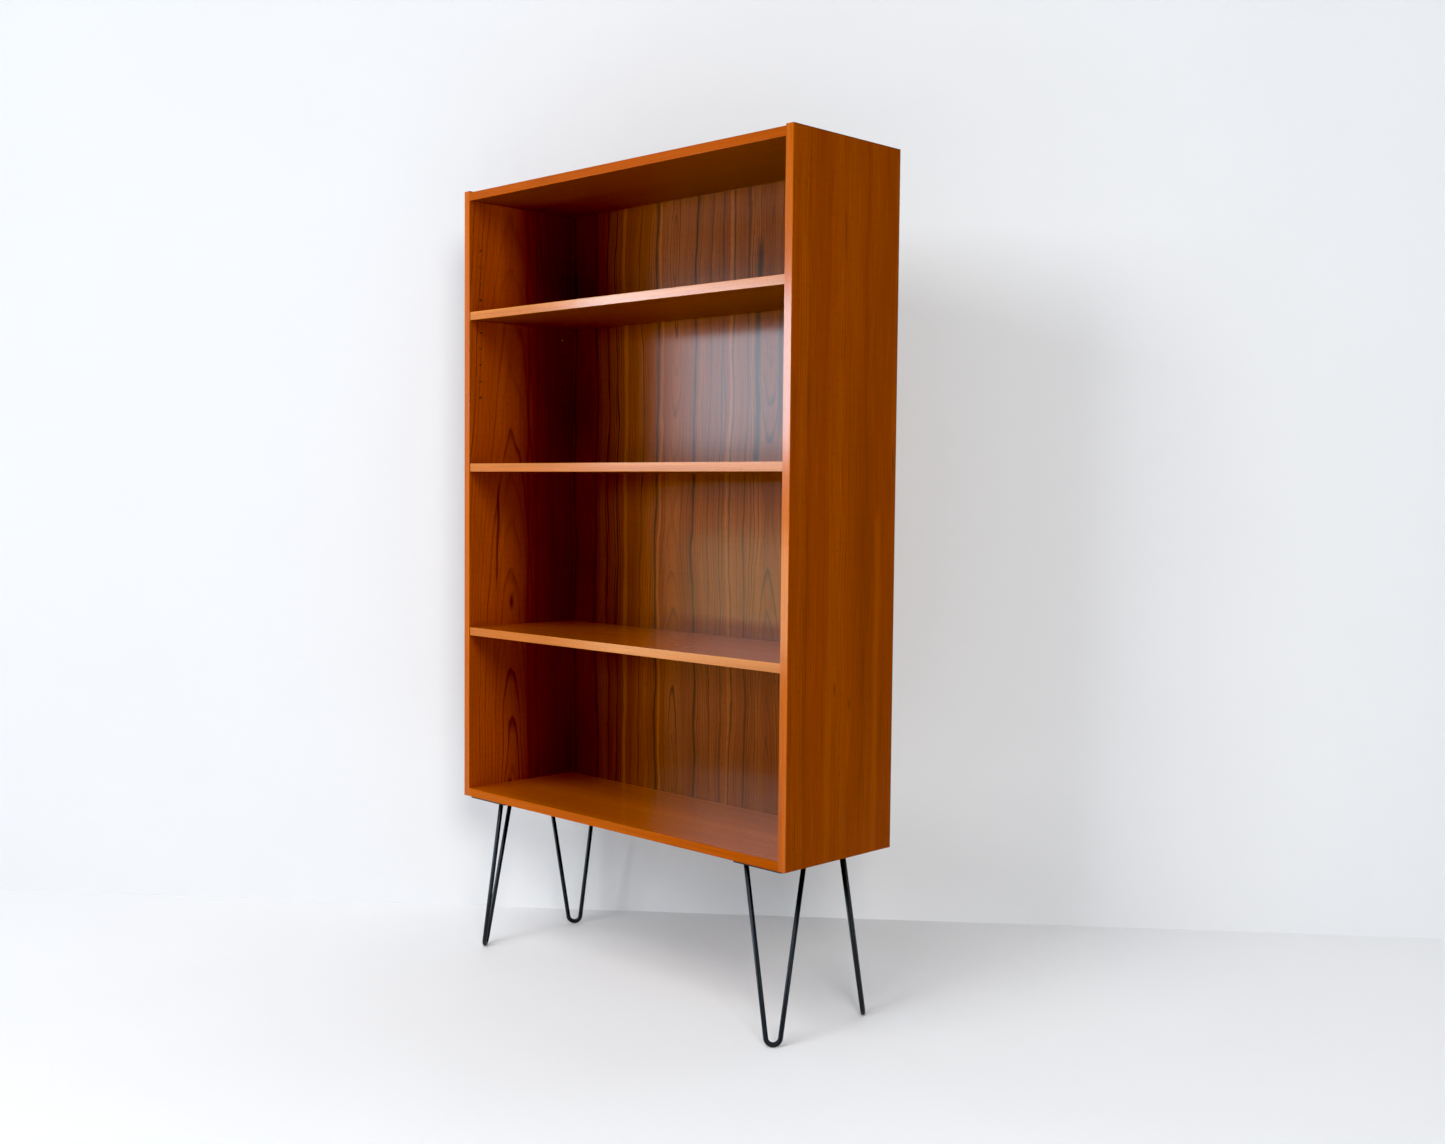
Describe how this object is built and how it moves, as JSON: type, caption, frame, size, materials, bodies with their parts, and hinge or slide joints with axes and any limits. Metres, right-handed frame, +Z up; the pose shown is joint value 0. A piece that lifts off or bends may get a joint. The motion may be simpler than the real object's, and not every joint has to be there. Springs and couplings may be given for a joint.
{
  "type": "bookcase with adjustable shelves",
  "caption": "Open teak bookcase with shelves on hidden pins, a nailed back and bent-rod hairpin legs, for standing books and ornaments.",
  "frame": {"origin": "on the floor, under the middle of the carcass", "axes": "+Z up, -Y out of the open front, +X to the right seen from the front"},
  "size_m": [0.87, 0.27, 1.497],
  "materials": {
    "teak_veneer": "satin lacquer",
    "teak_edging": "satin lacquer",
    "teak_back": "satin lacquer",
    "beech": "bare",
    "pin_steel": "plain zinc",
    "nail_steel": "dull",
    "black_steel": "satin black enamel",
    "screw_steel": "black oxide"
  },
  "bodies": {
    "carcass": {"side_left": "teak_veneer", "side_right": "teak_veneer", "side_left_edging": "teak_edging", "side_right_edging": "teak_edging", "top_panel": "teak_veneer", "top_panel_edging": "teak_edging", "bottom_panel": "teak_veneer", "bottom_panel_edging": "teak_edging", "top_dowels": "beech", "bottom_dowels": "beech", "back_panel": "teak_back", "back_panel_nails": "nail_steel", "middle_shelf_pins": "pin_steel", "lower_shelf_pins": "pin_steel", "leg_front_left_rod": "black_steel", "leg_front_left_plate": "black_steel", "leg_front_left_screws": "screw_steel", "leg_front_right_rod": "black_steel", "leg_front_right_plate": "black_steel", "leg_front_right_screws": "screw_steel", "leg_rear_left_rod": "black_steel", "leg_rear_left_plate": "black_steel", "leg_rear_left_screws": "screw_steel", "leg_rear_right_rod": "black_steel", "leg_rear_right_plate": "black_steel", "leg_rear_right_screws": "screw_steel"},
    "upper_shelf_support": {"upper_shelf_pins": "pin_steel"},
    "upper_shelf": {"upper_shelf_board": "teak_veneer", "upper_shelf_edging": "teak_edging"},
    "middle_shelf": {"middle_shelf_board": "teak_veneer", "middle_shelf_edging": "teak_edging"},
    "lower_shelf": {"lower_shelf_board": "teak_veneer", "lower_shelf_edging": "teak_edging"}
  },
  "joints": [
    {"name": "upper_shelf_height", "type": "slide", "parent": "carcass", "child": "upper_shelf_support", "axis": [0, 0, 1], "range_m": [-0.096, 0.096]},
    {"name": "upper_shelf_pull", "type": "slide", "parent": "upper_shelf_support", "child": "upper_shelf", "axis": [0, -1, 0], "range_m": [0, 0.22]},
    {"name": "middle_shelf_pull", "type": "slide", "parent": "carcass", "child": "middle_shelf", "axis": [0, -1, 0], "range_m": [0, 0.22]},
    {"name": "lower_shelf_pull", "type": "slide", "parent": "carcass", "child": "lower_shelf", "axis": [0, -1, 0], "range_m": [0, 0.22]}
  ]
}
